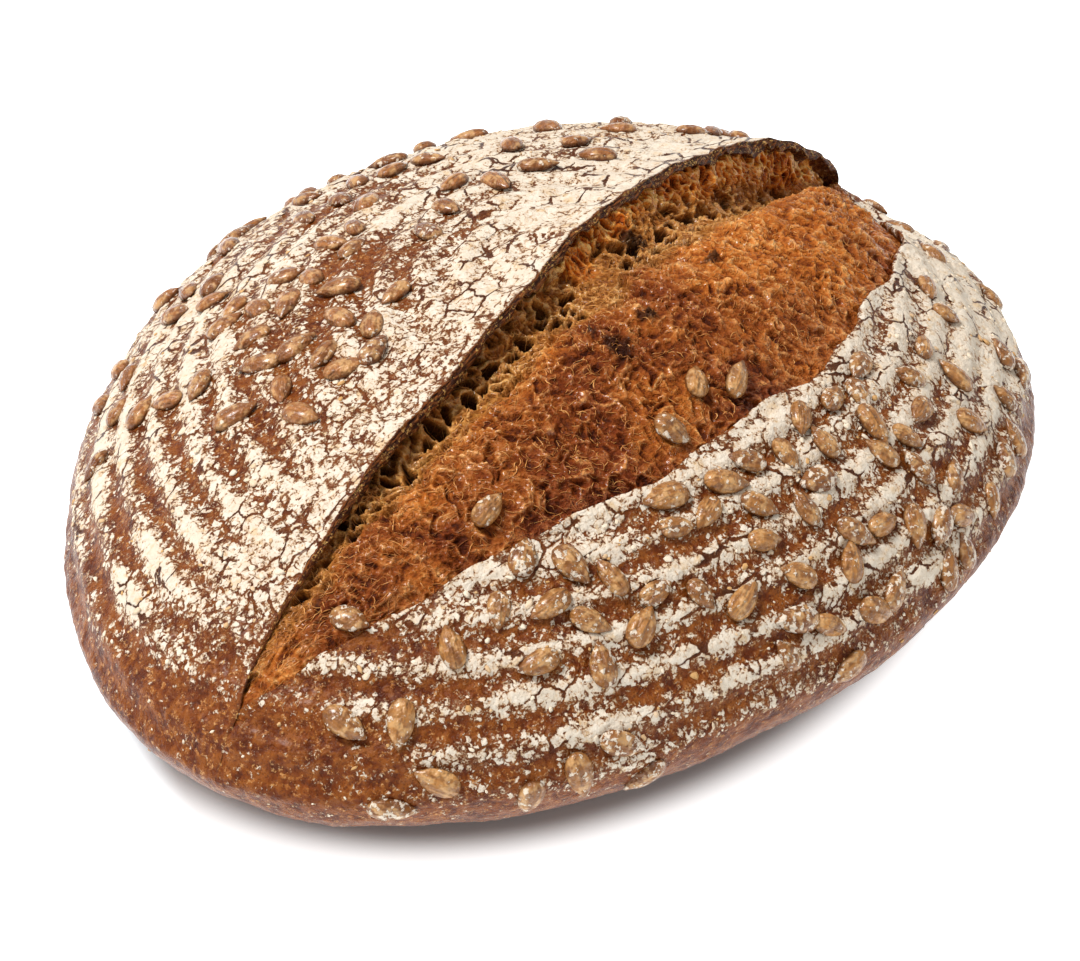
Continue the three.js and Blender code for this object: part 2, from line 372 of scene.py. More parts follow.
def crust_columns(turn_end, count, edge_y, rows_base, rows_tuck, rows_top):
    """Rows and columns of places on the smooth loaf, and the edge's x and y by column."""
    turns = np.linspace(TURN_TIP, turn_end, 4001)
    length = np.concatenate([[0], np.cumsum(np.hypot(*(np.diff(v) for v in plan(turns, 1.0))))])
    along = np.linspace(0, 1, count)
    turns = np.interp(along * length[-1], length, turns)
    edge_x = SLASH_TO + (SLASH_FROM - SLASH_TO) * along
    edge = np.stack([edge_x, edge_y(edge_x)], -1)
    rim = np.stack(plan(turns, 1.0), -1)

    t = (np.linspace(0, 1, 500) ** 2)[:, None, None]
    fine = rim + (edge - rim) * t
    level_steps = (np.diff(fine, axis=0) ** 2).sum(-1)
    steps = np.sqrt(level_steps + np.diff(dome_z(fine[..., 0], fine[..., 1]), axis=0) ** 2)
    climbed = np.concatenate([np.zeros((1, count)), np.cumsum(steps, axis=0)])
    top = np.empty((rows_top, count, 3))
    for column in range(count):
        want = np.linspace(0, climbed[-1, column], rows_top)
        at = np.interp(want, climbed[:, column], t[:, 0, 0])[:, None]
        top[:, column, :2] = rim[column] + (edge[column] - rim[column]) * at
    top[..., 2] = dome_z(top[..., 0], top[..., 1])

    tuck_z = WAIST * np.linspace(0, 1, rows_tuck + 1)[:-1, None]
    tuck = point(turns, share(tuck_z), tuck_z)
    foot = np.stack(plan(turns, BASE_SHARE), -1)
    spine = np.stack([edge_x * BASE_SHARE, edge_x * 0], -1)
    base = spine + (foot - spine) * np.linspace(0, 1, rows_base + 1)[:-1, None, None]
    base = np.concatenate([base, base[..., :1] * 0], -1)
    return np.concatenate([base, tuck, top]), edge


# how far the lip is set back from the ear's line, and the length over which an end opens
LIP_SET_BACK = 0.7
END_OPENS = 7


def at_end(x):
    """1 at the slash's two ends, where its edges meet, and 0 a few millimetres inside."""
    open_from = SLASH_FROM + END_OPENS
    mirrored = SLASH_FROM + SLASH_TO - x
    return 1 - smooth(SLASH_FROM, open_from, x) * smooth(SLASH_FROM, open_from, mirrored)


def back_edge_y(x):
    return ear_y(x) + LIP_SET_BACK - (LIP_SET_BACK + LEAST_GAP / 2) * at_end(x)


def front_edge_y(x):
    return bloom_y(x) + LEAST_GAP / 2 * at_end(x)


back, back_edge = crust_columns(
    math.pi, count=400, edge_y=back_edge_y, rows_base=4, rows_tuck=22, rows_top=174
)
front, front_edge = crust_columns(
    -math.pi, count=600, edge_y=front_edge_y, rows_base=5, rows_tuck=36, rows_top=108
)
print("back", back.shape, "front", front.shape)

# %% [markdown]
# ## Flour and relief of the crust
# Flour sits where the basket touched the dough: thick beside the ear, in stripes on the
# rings' crests, and hardly at all low on the sides. How much there is at each place is one
# number that shapes the mesh here and colours it in the material later.


# %% Flour by place
def ring_phase(places, up):
    return 2 * math.pi * (up - RING_CREST + 1.1 * noise(places, 30, 5)) / RING_PITCH


def height_up(places):
    return np.interp(plain_dome(places[..., 0], places[..., 1]), SIDE_Z, SIDE_UP)


def side_up(places):
    """Distance up the side, also under the waist."""
    z = places[..., 2]
    return np.where(z < WAIST - 0.01, np.interp(z, SIDE_Z, SIDE_UP), height_up(places))


def patch(places, x, y, spread):
    return np.exp(-((places[..., 0] - x) ** 2 + (places[..., 1] - y) ** 2) / (2 * spread**2))


# x, y and spread in mm
BARE_SPOTS = [(-15, 38, 9), (-42, 33, 11), (-60, 27, 8), (14, 58, 9), (-92, 50, 8)]


def back_flour(places, up):
    x, y = places[..., 0], places[..., 1]
    beside = np.exp(-(((y - ear_y(x)) / (22 + 9 * smooth(-40, 60, x))) ** 4))
    stripe = np.cos(ring_phase(places, up)) + 0.5 * noise(places, 9, 25)
    cover = 0.76 + 0.04 * smooth(-40, 60, x) - 0.08 * smooth(-70, -95, x) + 0.26 * rough(places, 17, 3)
    flour = cover + (0.14 + 0.14 * smooth(-35, -75, x)) * stripe
    for spot in BARE_SPOTS:
        flour = flour - 0.33 * patch(places, *spot)
    thick = 0.77 + 0.16 * smooth(-60, 40, x) + 0.22 * rough(places, 12, 26)
    flour = flour + (thick - flour) * beside * 0.88
    low = smooth(46, 63, up + 5 * noise(places, 16, 8)) * smooth(-126, -104, x + 8 * noise(places, 12, 9))
    return np.clip(0.06 + (flour - 0.06) * low, 0, 1.2)


def front_flour(places, up):
    x, y = places[..., 0], places[..., 1]
    stripe = np.cos(ring_phase(places, up)) + 0.45 * noise(places, 8, 27)
    cover = 0.6 + 0.09 * smooth(-40, 20, x) + 0.34 * smooth(20, 70, x) + 0.24 * rough(places, 15, 4)
    flour = cover + (0.26 - 0.18 * smooth(30, 80, x)) * stripe
    rim = np.exp(-((np.clip(bloom_y(x) - y, 0, 99) / 7) ** 3))
    rim = rim * smooth(-98, -84, x) * (1 - 0.4 * smooth(0, 40, x))
    flour = flour + (0.86 - flour) * rim * np.clip(0.8 + 0.5 * noise(places, 7, 28), 0, 1)
    low = smooth(41 + 8 * smooth(0, 60, x), 56 + 4 * smooth(0, 60, x), up + 4 * noise(places, 14, 6))
    end = smooth(-124, -104, x + 8 * noise(places, 13, 7))
    return np.clip(0.12 + (flour - 0.12) * low * end, 0, 1)


def crust_relief(places, up, flour):
    """How far the crust stands off the smooth loaf, in mm."""
    gate = smooth(RINGS_FROM - 6, RINGS_FROM + 8, up)
    ring = 0.5 * RING_RELIEF * np.cos(ring_phase(places, up)) * gate
    lumps = 0.9 * rough(places, 24, 12) + 0.3 * rough(places, 6, 15)
    border, own = cells(places + 1.5 * rough(places, 5, 18)[..., None], 7.5, 19)
    plate = (0.1 + 0.22 * own) * smooth(0.02, 0.25, border) * flour
    grain = 0.16 * noise(places, 1.7, 21)
    on_base = smooth(0.5, 6, places[..., 2])
    return (ring + lumps + plate + grain) * on_base


back_up, front_up = side_up(back), side_up(front)
flour_back, flour_front = back_flour(back, back_up), front_flour(front, front_up)
print("mean flour", round(float(flour_back.mean()), 2), round(float(flour_front.mean()), 2))

# %% [markdown]
# ## The back crust and its ear
# The ear is the crust's own edge, so it is the same sheet: its last few millimetres lift
# off the dome, end in a torn lip, and run back under it. The lip dried and charred first,
# so the sheet carries a number that is 1 there and 0 on the floured side.


# %% Raise the back crust's edge
def along_edge(ex):
    """Places on the X axis, for noise that changes only along the slash."""
    return np.stack([ex, ex * 0, ex * 0], -1)


def lifted_crust():
    """The back crust with its relief, raised towards the slash and nicked along its edge."""
    x, y = back[..., 0], back[..., 1]
    off = crust_relief(back, back_up, flour_back)
    close = np.exp(-np.clip(y - ear_y(x), 0, 99) / 4) * (back[..., 2] > WAIST)
    places = back + outward(back) * (off * (1 - 0.6 * close))[..., None]
    grown = smooth(SLASH_FROM, -70, x) * (1 - 0.6 * smooth(96, SLASH_TO, x))
    root = EAR_ROOT * (0.25 + 0.75 * grown)
    lifted = np.clip(1 - (y - ear_y(x)) / root, 0, 1) ** 1.6 * (back[..., 2] > WAIST)
    places[..., 2] += ear_rise(x) * lifted
    ex = back_edge[:, 0]
    line = along_edge(ex)
    ragged = 0.25 + 1.6 * smooth(84, 112, ex)
    nick = ragged * (0.4 * noise(line, 1.9, 33) + 0.7 * noise(line, 7, 34))
    places[..., 1] -= nick * close
    return places


# %% Hang the torn lip on it
LIP_ROWS = 20
# how far in and how far down each row under the lip is, in mm
UNDER_ROWS = [(0.9, 0.4), (2.2, 1.4), (3.2, 3.0), (3.9, 5.0), (4.3, 7.5)]


def torn_lip(edge):
    """Rows of places round the ear's edge and back under it, and how charred each is."""
    ex = back_edge[:, 0]
    line = along_edge(ex)
    body = smooth(SLASH_FROM, -80, ex) * (1 - at_end(ex))
    band = (0.5 + 1.5 * body + 1.0 * smooth(62, 98, ex)) * (1 - 0.75 * at_end(ex))
    hang = 1 + body * (0.45 * noise(line, 1.6, 36) + 0.4 * noise(line, 5, 37))
    rows, chars = [], []
    for step in range(1, LIP_ROWS + 1):
        t = step / LIP_ROWS
        turn = math.radians(12 + 150 * t**1.3)
        layer = line * [0.3, 1, 1] + [0, 0, t * 5.2]
        leaf = 0.16 * math.sin(t * 19) + 0.3 * noise(layer, 1.5, 31)
        leaf = leaf + 0.2 * noise(line + [0, 0, t * 4], 2.5, 32)
        out = band * (0.62 * math.sin(turn * 0.62)) + leaf * body * math.sin(math.pi * min(1, t * 1.4))
        down = band * hang * (0.9 * t**1.1)
        rows.append(edge + np.stack([out * 0, -out, -down], -1))
        chars.append(ex * 0 + smooth(0, 0.12, t))
    last = rows[-1]
    for step, (inward, depth) in enumerate(UNDER_ROWS):
        scale = 0.3 + 0.7 * body
        wobble = 0.5 * noise(line + [0, step * 3, 0], 3, 35)
        sunk = depth + trough_depth(ex) * step / 4
        rows.append(last + np.stack([ex * 0, (inward + 0.5 * band) * scale + wobble * body, -sunk], -1))
        chars.append(ex * 0 + 0.8 - 0.1 * step)
    return np.stack(rows), np.stack(chars)


# %% Join the crust and its lip
def ear_sheet():
    """The back crust and its lip as one sheet, with the flour and char on it."""
    places = lifted_crust()
    lip, lip_char = torn_lip(places[-1])
    x, y = back[..., 0], back[..., 1]
    ex = back_edge[:, 0]
    rim = 0.9 * np.exp(-np.clip(y - ear_y(x), 0, 99) / 0.8) * (back[..., 2] > WAIST)
    char = np.concatenate([rim, lip_char])
    char = char * (0.45 + 0.55 * smooth(-100, -50, ex)) * (1 - 0.5 * smooth(100, 110, ex))
    flour = np.concatenate([flour_back, np.zeros(lip.shape[:2])])
    return np.concatenate([places, lip]), {"flour": flour, "char": char}


back_places, back_values = ear_sheet()
crust_back = bent_grid("crust_back", back_places, back_values, (0, 20, 35))

# %% [markdown]
# ## The front crust
# In front of the bloom the crust was pushed aside and not lifted, so its edge is only a
# thin torn lip, which turns down into the crumb. A few rows that step out, down and back
# under give that edge a thickness without a second sheet.

# %% Bend the front crust
# how far out and how far down each row of the front lip is, in mm
FRONT_LIP_ROWS = [(0.35, 0.1), (0.6, 0.5), (0.6, 1.1), (0.3, 1.8), (-0.6, 2.8), (-2.5, 4.2)]


def front_sheet():
    """The front crust and its lip as one sheet, with the flour on it."""
    off = crust_relief(front, front_up, flour_front)
    x, y = front[..., 0], front[..., 1]
    near = np.exp(-np.clip(bloom_y(x) - y, 0, 99) / 2.5) * (front[..., 2] > WAIST)
    places = front + outward(front) * (off + 0.35 * near)[..., None]
    edge = places[-1]
    ex = front_edge[:, 0]
    line = along_edge(ex)
    torn = (0.5 * noise(line, 2.1, 41) + 0.8 * noise(line, 6, 42)) * (1 - at_end(ex))
    rows = []
    for out, down in FRONT_LIP_ROWS:
        out = out * (1 - 0.8 * at_end(ex))
        rows.append(edge + np.stack([ex * 0, out + torn * 0.8, -down + ex * 0], -1))
    lip = np.stack(rows)
    places = np.concatenate([places, lip])
    faded = np.linspace(0.6, 0, len(lip))[:, None] * flour_front[-1:]
    return places, {"flour": np.concatenate([flour_front, faded]), "char": places[..., 0] * 0}


front_places, front_values = front_sheet()
crust_front = bent_grid("crust_front", front_places, front_values, (0, -30, 32))

# %% [markdown]
# ## The torn crumb
# Under the slash the dough tore open and rose. Beside the ear the tear is a wall of webs
# over a trough with open holes, and the rest swelled into a rough, golden field. The
# field's fibres are ridges of noise that is itself bent by noise, which curls them. The
# holes are cells whose borders stay up as webs.

# %% Smooth form of the crumb
CRUMB_ROWS, CRUMB_COLUMNS = 208, 450
CRUMB_MARGIN = 0.05
# how far the crumb reaches in under the ear and under the front crust
UNDER_EAR, UNDER_CRUST = 2.8, 0.8


def curl(places, size, strength, salt):
    """The places pushed about by noise, so that a pattern on them curls."""
    push = np.stack([noise(places, size, salt + k) for k in range(3)], -1)
    return places + strength * push


def crumb_grid(x):
    """Smooth places of the crumb by row across it, and the share of its width."""
    across = np.linspace(-CRUMB_MARGIN, 1 + CRUMB_MARGIN, CRUMB_ROWS)[:, None]
    behind, before = ear_y(x) + UNDER_EAR, bloom_y(x) - UNDER_CRUST
    y = behind + (before - behind) * across
    inside = np.clip(across, 0, 1) + x * 0
    under_lip = np.maximum(ear_rise(x) - EAR_THICK, 0) * (1 - smooth(0, 0.07, across))
    z = dome_z(x, y) + bloom_lift(x, inside) + under_lip
    z = z - 6 * smooth(0, CRUMB_MARGIN, -across) - 5 * smooth(0, CRUMB_MARGIN, across - 1)
    return np.stack(np.broadcast_arrays(x, y, z), -1), inside


# %% Parts of the crumb
# x, y and spread in mm of each group of holes, and of each scorched knob
HOLES = [(-80, -2.2, 5), (-72, -4.8, 6), (-63, -6, 5.5), (-50, -6.5, 5), (-38, -7.4, 8), (-28, -9, 8)]
HOLES += [(-12, -9, 7), (-5, -13, 7), (0, -17, 5), (14, -12, 5), (27.5, -14.5, 8)]
HOLES += [(43, -14.5, 9), (56, -18, 6), (67, -14, 6), (79, -14, 6), (90, -18, 5)]
BURNT = [(-18, -29, 2.4), (-5, -29, 1.7), (22, -30, 1.4), (23, -11, 2.2), (-17, -22, 1.2)]


def crumb_parts(grid, inside):
    """How far each place belongs to the open trough, to the wall under the ear and to the
    baked field, each from 0 to 1."""
    x, y = grid[..., 0], grid[..., 1]
    centre = trough_share(x) + 0.03
    clusters = [
        np.exp(-(((x - hole_x) / spread) ** 2) - ((y - hole_y) / (0.68 * spread)) ** 2)
        for hole_x, hole_y, spread in HOLES
    ]
    band = np.exp(-(((inside - centre) / (0.09 + 0.2 * smooth(-75, -105, x))) ** 2))
    band = band * (1 - smooth(88, 104, x))
    strip = 0.4 + 0.25 * smooth(0, 40, x) + 0.25 * smooth(-80, -105, x)
    broken = smooth(-0.6, 0.2, noise(grid * [1, 0, 0], 9, 51))
    opened = np.clip(sum(clusters) * 1.25 + strip * band * broken, 0, 1)
    wall = (1 - smooth(0.4, 1, inside / centre)) * smooth(-112, -60, x)
    field = smooth(0.02, 0.16, inside - centre) * (1 - opened)
    return opened, wall, field


# %% Holes, net and fibres
def crumb_holes(grid, level):
    """Depths of holes, bubbles and pockets from 0 to 1, and the thin webs between pockets
    and between holes."""
    x = grid[..., 0]
    squeezed = level * np.stack([0.68 - 0.2 * smooth(5, 45, x), x * 0 + 1, x * 0], -1)
    border, own = cells(squeezed, 2.9, 53, flat=True)
    hole = smooth(0.1, 0.34, border) * smooth(0.35 - 0.25 * smooth(5, 45, x), 0.65, own)
    small_border, small_own = cells(level, 1.5, 54, flat=True)
    bubble = smooth(0.08, 0.45, small_border) * small_own
    web_border, web_own = cells(curl(grid, 4, 2.4, 75) * [0.9, 0.7, 0.8], 2.5, 55)
    pocket = smooth(0.06, 0.45, web_border) * (0.15 + 0.85 * web_own)
    webs = 1 - smooth(0.02, 0.26, web_border)
    edges = np.maximum(1 - smooth(0.02, 0.24, border), 0.6 * (1 - smooth(0.02, 0.3, small_border)))
    return hole, bubble, pocket, webs, edges


def crumb_net(grid, level):
    """The net of raised dough on the field and the bowls in its meshes."""
    border, own = cells(curl(level, 3.5, 2.2, 72) * [1, 0.8, 0], 3.3, 60, flat=True)
    net = (1 - smooth(0.0, 0.17, border)) * smooth(-0.4, 0.3, noise(grid, 3, 80))
    return net, smooth(0.1, 0.5, border) * own


def crumb_strands(grid):
    """Curled crests: strands on the wall, fibres and finer threads on the field."""
    strand = ridged(curl(grid, 3, 1.6, 78) * [1.5, 1, 0.45], 2.2, 79) ** 2
    tight = curl(grid, 2.6, 1.2, 64)
    fibre = ridged(tight * [1, 0.55, 1], 3, 56) ** 2
    thread = ridged(tight, 1.5, 57) ** 2
    return strand, fibre, thread


# %% Crumb relief
def crumb_relief(grid, inside):
    """How far the torn crumb stands off its smooth form, and numbers for its colour."""
    x = grid[..., 0]
    opened, wall, field = crumb_parts(grid, inside)
    level = curl(grid, 5, 1.5, 61) * [1, 1, 0]
    hole, bubble, pocket, webs, edges = crumb_holes(grid, level)
    net, bowl = crumb_net(grid, level)
    strand, fibre, thread = crumb_strands(grid)
    torn, ledge = ledges(0.5 + 0.5 * rough(curl(grid, 6, 3, 68) * [1, 0.7, 1], 9, 59, 2), 5, 0.22)
    brink = 1 - smooth(0, 0.12, ledge)
    foot = smooth(0.5, 0.72, ledge) * (1 - smooth(0.78, 0.95, ledge))
    lumps = rough(grid, 13, 58)
    scorched = sum(patch(grid + 1.4 * rough(grid, 2.5, 63)[..., None], *spot) for spot in BURNT)
    scorched = np.clip(1.3 * scorched, 0, 1)

    fine = 0.4 + 0.6 * smooth(-96, -55, x)
    dimples = 1.1 * fine * bowl + 1.1 * (1 - fine) * bubble
    deep = 5 * opened * hole + 1.1 * opened * bubble + 3 * wall * pocket + field * dimples
    raised = 2.6 * (torn - 0.5) + fine * (0.5 * fibre + 0.35 * thread + 0.5 * net * field)
    raised = (0.25 + 0.75 * field) * raised + wall * (0.6 * strand + 1.2 * noise(grid, 4.5, 77))
    calm = smooth(0.78, 0.96, inside)
    raised = raised * (1 - 0.6 * calm) + 1.2 * lumps + 1.1 * scorched * (thread + fibre)
    rim = smooth(0, 0.04, inside) * smooth(0, 0.02, 1 - inside) * (1 - 0.8 * at_end(x))
    rim = rim * (0.6 + 0.4 * smooth(-116, -84, x))

    # crest also paints light and shade: lighter on ridges, webs and hole rims, darker in bowls and ledge
    # feet
    crest = (0.2 + 0.22 * fine) * net + 0.28 * fibre + 0.22 * thread + 0.35 * brink
    crest = crest - 0.25 * foot - 0.34 * bowl + 0.24
    crest = crest + (0.75 * webs + 0.45 * strand + 0.35 * noise(grid, 5, 77) - crest) * wall
    crest = crest + (0.85 * edges + 0.1 - crest) * opened
    toast = 0.42 + 1.1 * rough(grid, 19, 70, 3) - 0.5 * lumps + 0.2 * smooth(0.35, 0.75, inside)
    toast = toast - 0.42 * smooth(0, 50, x) + 0.75 * smooth(86, 106, x) + 0.3 * smooth(-80, -105, x)
    toast = toast + 0.45 * patch(grid, -50, -27, 13) + 0.15 * smooth(0.86, 0.97, inside)
    values = {
        "open": opened,
        # painted shade: holes, pockets and dimples are painted darker by their depth
        "deep": np.clip(deep / 3, 0, 1) * np.maximum(np.maximum(opened, wall), 1.2 - 1.2 * fine),
        "wall": wall,
        "crest": crest,
        "toast": toast,
        "calm": calm,
        "burnt": scorched,
    }
    return (raised - deep) * rim, values


# %% Bend the crumb
HALVES_LAP = 0.4


def crumb_half(name, x_from, x_to, inside_point):
    grid, inside = crumb_grid(np.linspace(x_from, x_to, CRUMB_COLUMNS)[None, :])
    off, values = crumb_relief(grid, inside)
    places = grid + outward(grid) * off[..., None]
    return places, bent_grid(name, places, values, inside_point)


left_places, crumb_left = crumb_half("crumb_left", SLASH_FROM, HALVES_LAP, (-6, -20, 10))
right_places, crumb_right = crumb_half("crumb_right", 0, SLASH_TO, (6, -20, 10))

# %% [markdown]
# ## Fibres of dough
# Where the dough tore, thin fibres stand off the surface and catch the light. Each is a
# short bent tube, three-sided because nobody sees a corner at a third of a millimetre. Its
# ends sink into the crumb, so it grows out of it as a real one does.

# %% Lay the fibres
FIBRES = 5200
FIBRE_STEPS = 5
fibre_dice = np.random.default_rng(7)


def on_crumb(x, share_across):
    """Places on the bent crumb by x in mm and share of its width."""
    is_right = x > HALVES_LAP / 2
    start = np.where(is_right, 0, SLASH_FROM)
    length = np.where(is_right, SLASH_TO, HALVES_LAP - SLASH_FROM)
    column = np.clip((x - start) / length * (CRUMB_COLUMNS - 1), 0, CRUMB_COLUMNS - 1.001)
    row = (share_across + CRUMB_MARGIN) / (1 + 2 * CRUMB_MARGIN) * (CRUMB_ROWS - 1)
    row = np.clip(row, 0, CRUMB_ROWS - 1.001)
    c, r = column.astype(int), row.astype(int)
    u, v = (column - c)[..., None], (row - r)[..., None]
    picked = []
    for places in (left_places, right_places):
        low = places[r, c] * (1 - u) + places[r, c + 1] * u
        high = places[r + 1, c] * (1 - u) + places[r + 1, c + 1] * u
        picked.append(low * (1 - v) + high * v)
    return np.where(is_right[..., None], picked[1], picked[0])


def fibre_lines():
    """Bent lines on the crumb, with their radius by place and each fibre's own draw."""
    dice = fibre_dice
    x = dice.uniform(-114, 114, FIBRES)
    by_ear = dice.random(FIBRES) < 0.45
    share_across = np.where(by_ear, dice.uniform(0.0, 0.3, FIBRES), dice.uniform(0.2, 0.93, FIBRES))
    heading = dice.uniform(0, 2 * math.pi, FIBRES)
    bend = dice.uniform(-2.6, 2.6, FIBRES)
    length = dice.uniform(1.0, 3.4, FIBRES)
    lift = dice.uniform(0.0, 0.3, FIBRES)
    thick = 0.05 + 0.12 * dice.random(FIBRES) ** 2
    width = ear_y(x) + UNDER_EAR - bloom_y(x) + UNDER_CRUST
    t = np.linspace(0, 1, FIBRE_STEPS)[None]
    turn = heading[:, None] + bend[:, None] * (t - 0.5)
    step = length[:, None] / (FIBRE_STEPS - 1)
    dx = np.cumsum(np.cos(turn) * step, axis=1)
    dy = np.cumsum(np.sin(turn) * step, axis=1)
    lines = on_crumb(x[:, None] + dx, share_across[:, None] + dy / width[:, None])
    lines[..., 2] += lift[:, None] * np.sin(math.pi * t) - 0.05
    taper = thick[:, None] * (0.45 + 0.55 * np.sin(math.pi * t))
    return lines, taper, dice.random(FIBRES)


def tubes(lines, taper):
    """Three-sided tubes along lines, as vertices in mm and faces."""
    count, steps = lines.shape[:2]
    ahead = np.gradient(lines, axis=1)
    ahead = ahead / (np.linalg.norm(ahead, axis=-1, keepdims=True) + 1e-9)
    side = np.cross(ahead, [0.1, 0.2, 1.0])
    side = side / (np.linalg.norm(side, axis=-1, keepdims=True) + 1e-9)
    rise = np.cross(side, ahead)
    turns = [0.5 + third * math.pi / 3 for third in (0, 2, 4)]
    rings = [side * math.cos(turn) + rise * math.sin(turn) for turn in turns]
    vertices = np.stack([lines + ring * taper[..., None] for ring in rings], 2).reshape(-1, 3)
    first = (np.arange(count)[:, None, None] * steps + np.arange(steps - 1)[None, :, None]) * 3
    a = first + np.arange(3)
    b = first + (np.arange(3) + 1) % 3
    sides = np.stack([a, b, b + 3, a + 3], -1).reshape(-1, 4)
    ends = np.arange(count)[:, None] * steps * 3
    caps = np.concatenate([ends + [2, 1, 0], ends + (steps - 1) * 3 + [0, 1, 2]])
    return vertices, sides.tolist() + caps.tolist()


def loose_piece(name, vertices, faces, values):
    """A piece from vertices in mm and faces that are already closed and face outwards."""
    mesh = bpy.data.meshes.new(name)
    mesh.from_pydata((np.asarray(vertices) * MM).tolist(), [], faces)
    mesh.update()
    put_values(mesh, values)
    piece = bpy.data.objects.new(name, mesh)
    bpy.context.scene.collection.objects.link(piece)
    mesh.polygons.foreach_set("use_smooth", [True] * len(mesh.polygons))
    print(name, triangles(mesh), "triangles")
    return piece


fibre_line, fibre_taper, fibre_own = fibre_lines()
fibre_points, fibre_faces = tubes(fibre_line, fibre_taper)
fibres = loose_piece("fibres", fibre_points, fibre_faces, {"own": np.repeat(fibre_own, FIBRE_STEPS * 3)})

# %% [markdown]
# ## Where the kernels lie
# The kernels stuck to the dough in patches, so a short table says how many lie in which
# part of the crust and a seeded draw places them. Park and Miller's generator is used
# because it gives the same numbers in any language, so the kernels land where the solid
# has them.

# %% Draw the kernels' places
# turn round the loaf in degrees, up along the side in mm
KERNEL_ZONES = [
    {"turn": (-158, -128), "up": (42, 52), "count": 6},
    {"turn": (-176, -152), "up": (56, 80), "count": 3},
    {"turn": (-152, -140), "up": (70, 96), "count": 4},
    {"turn": (-140, -125), "up": (66, 90), "count": 6},
    {"turn": (-124, -108), "up": (68, 108), "count": 9},
    {"turn": (-116, -106), "up": (47, 64), "count": 4},
    {"turn": (-108, -94), "up": (54, 112), "count": 10},
    {"turn": (-94, -72), "up": (48, 106), "count": 19},
    {"turn": (-72, -48), "up": (52, 86), "count": 8},
    {"turn": (-46, 14), "up": (50, 104), "count": 12},
    {"turn": (16, 60), "up": (78, 136), "count": 11},
    {"turn": (20, 84), "up": (50, 78), "count": 9},
    {"turn": (60, 100), "up": (62, 140), "count": 18},
    {"turn": (100, 135), "up": (58, 92), "count": 9},
    {"turn": (104, 136), "up": (92, 138), "count": 13},
    {"turn": (136, 156), "up": (98, 136), "count": 7},
]
DRAW_FACTOR, DRAW_LIMIT = 16807, 2**31 - 1
draw_state = {"value": KERNEL_SEED}


def draw(low, high):
    draw_state["value"] = draw_state["value"] * DRAW_FACTOR % DRAW_LIMIT
    return low + (high - low) * draw_state["value"] / DRAW_LIMIT


def side_at(up):
    return float(np.interp(up, SIDE_UP, SIDE_Z)), float(np.interp(up, SIDE_UP, SIDE_REACH))


def unit(v):
    return v / np.linalg.norm(v)


# a short way up the side in mm and a short way round it in radians
STEP_UP, STEP_ROUND = 0.5, 0.01


def frame_at(turn, up, spin):
    """A place on the crust, a direction along it that spin turns, and the way out of it."""
    z, reach = side_at(up)
    next_z, next_reach = side_at(up + STEP_UP)
    place = point(turn, reach, z)
    beside = point(turn + STEP_ROUND, reach, z) - place
    normal = unit(np.cross(beside, point(turn, next_reach, next_z) - place))
    beside = unit(beside)
    along = beside * math.cos(spin) + np.cross(normal, beside) * math.sin(spin)
    return place, along, normal


MOST_TRIES = 60
# the least distance between two kernels, and how far they stay from the bloom and the ear
APART = KERNEL["length"] * 0.78
OFF_BLOOM, OFF_EAR = 3, 9


def on_crust(place, off_bloom, off_ear):
    """Whether a place is clear of the slash by these distances."""
    x, y = place[0], place[1]
    return x <= SLASH_FROM or not bloom_y(x) - off_bloom < y < ear_y(x) + off_ear


kernel_spots = []
for zone in KERNEL_ZONES:
    tries = laid = 0
    while laid < zone["count"] and tries < MOST_TRIES:
        tries += 1
        turn = math.radians(draw(*zone["turn"]))
        up, spin, size = draw(*zone["up"]), draw(0, 2 * math.pi), draw(0.88, 1.1)
        place, along, normal = frame_at(turn, up, spin)
        crowded = any(np.linalg.norm(place - spot[0]) < APART for spot in kernel_spots)
        if on_crust(place, OFF_BLOOM, OFF_EAR) and not crowded:
            kernel_spots.append((place, along, normal, size))
            laid += 1
print(len(kernel_spots), "kernels")

# %% [markdown]
# ## One kernel
# A hulled sunflower kernel is a flattened drop. A sphere with few faces is squeezed to its
# three sizes, narrowed towards one end and pulled out to a tip there. One shape is enough,
# because each copy is then scaled, turned and coloured by its own draw.


# %% Model one kernel
def taken_apart(piece):
    """A modelled shape as vertices and faces. Operators leave the faces in any order, so
    they are sorted here, each from its lowest vertex on, and no two runs differ."""
    co = np.array([v.co for v in piece.data.vertices])
    faces = []
    for face in piece.data.polygons:
        ring = list(face.vertices)
        lowest = ring.index(min(ring))
        faces.append(ring[lowest:] + ring[:lowest])
    bpy.data.objects.remove(piece)
    return co, sorted(faces)


def shaped_kernel():
    """A hulled kernel from a sphere: a blunt end, a full middle and a stub of a tip."""
    deselect()
    bpy.ops.mesh.primitive_uv_sphere_add(segments=10, ring_count=9, radius=1)
    piece = bpy.context.object
    bpy.ops.object.mode_set(mode="EDIT")
    bpy.ops.mesh.select_all(action="SELECT")
    bpy.ops.transform.resize(value=(KERNEL["width"] * 0.53, KERNEL["thick"] * 0.56, KERNEL["length"] / 2))
    bpy.ops.object.mode_set(mode="OBJECT")
    co, faces = taken_apart(piece)
    t = co[:, 2] / (KERNEL["length"] / 2)
    co[:, :2] *= (1 - 0.2 * t - 0.28 * smooth(0.55, 0.95, t))[:, None]
    co[:, 2] += KERNEL["length"] * (0.03 + 0.045 * smooth(0.8, 1, t))
    return co, faces


# %% Copy it to each place
# x and y in mm and spin in radians of those on the bloom, and how far they stand off it
BLOOM_KERNELS = [(-16, -46, 0.6), (-9, -51, 0.5), (-30, -47, -1.1), (-69, -27, 0.3), (-100, -14, -1.1)]
BLOOM_KERNEL_LIFT = 0.6
kernel_shape, kernel_faces = shaped_kernel()
kernel_dice = np.random.default_rng(11)


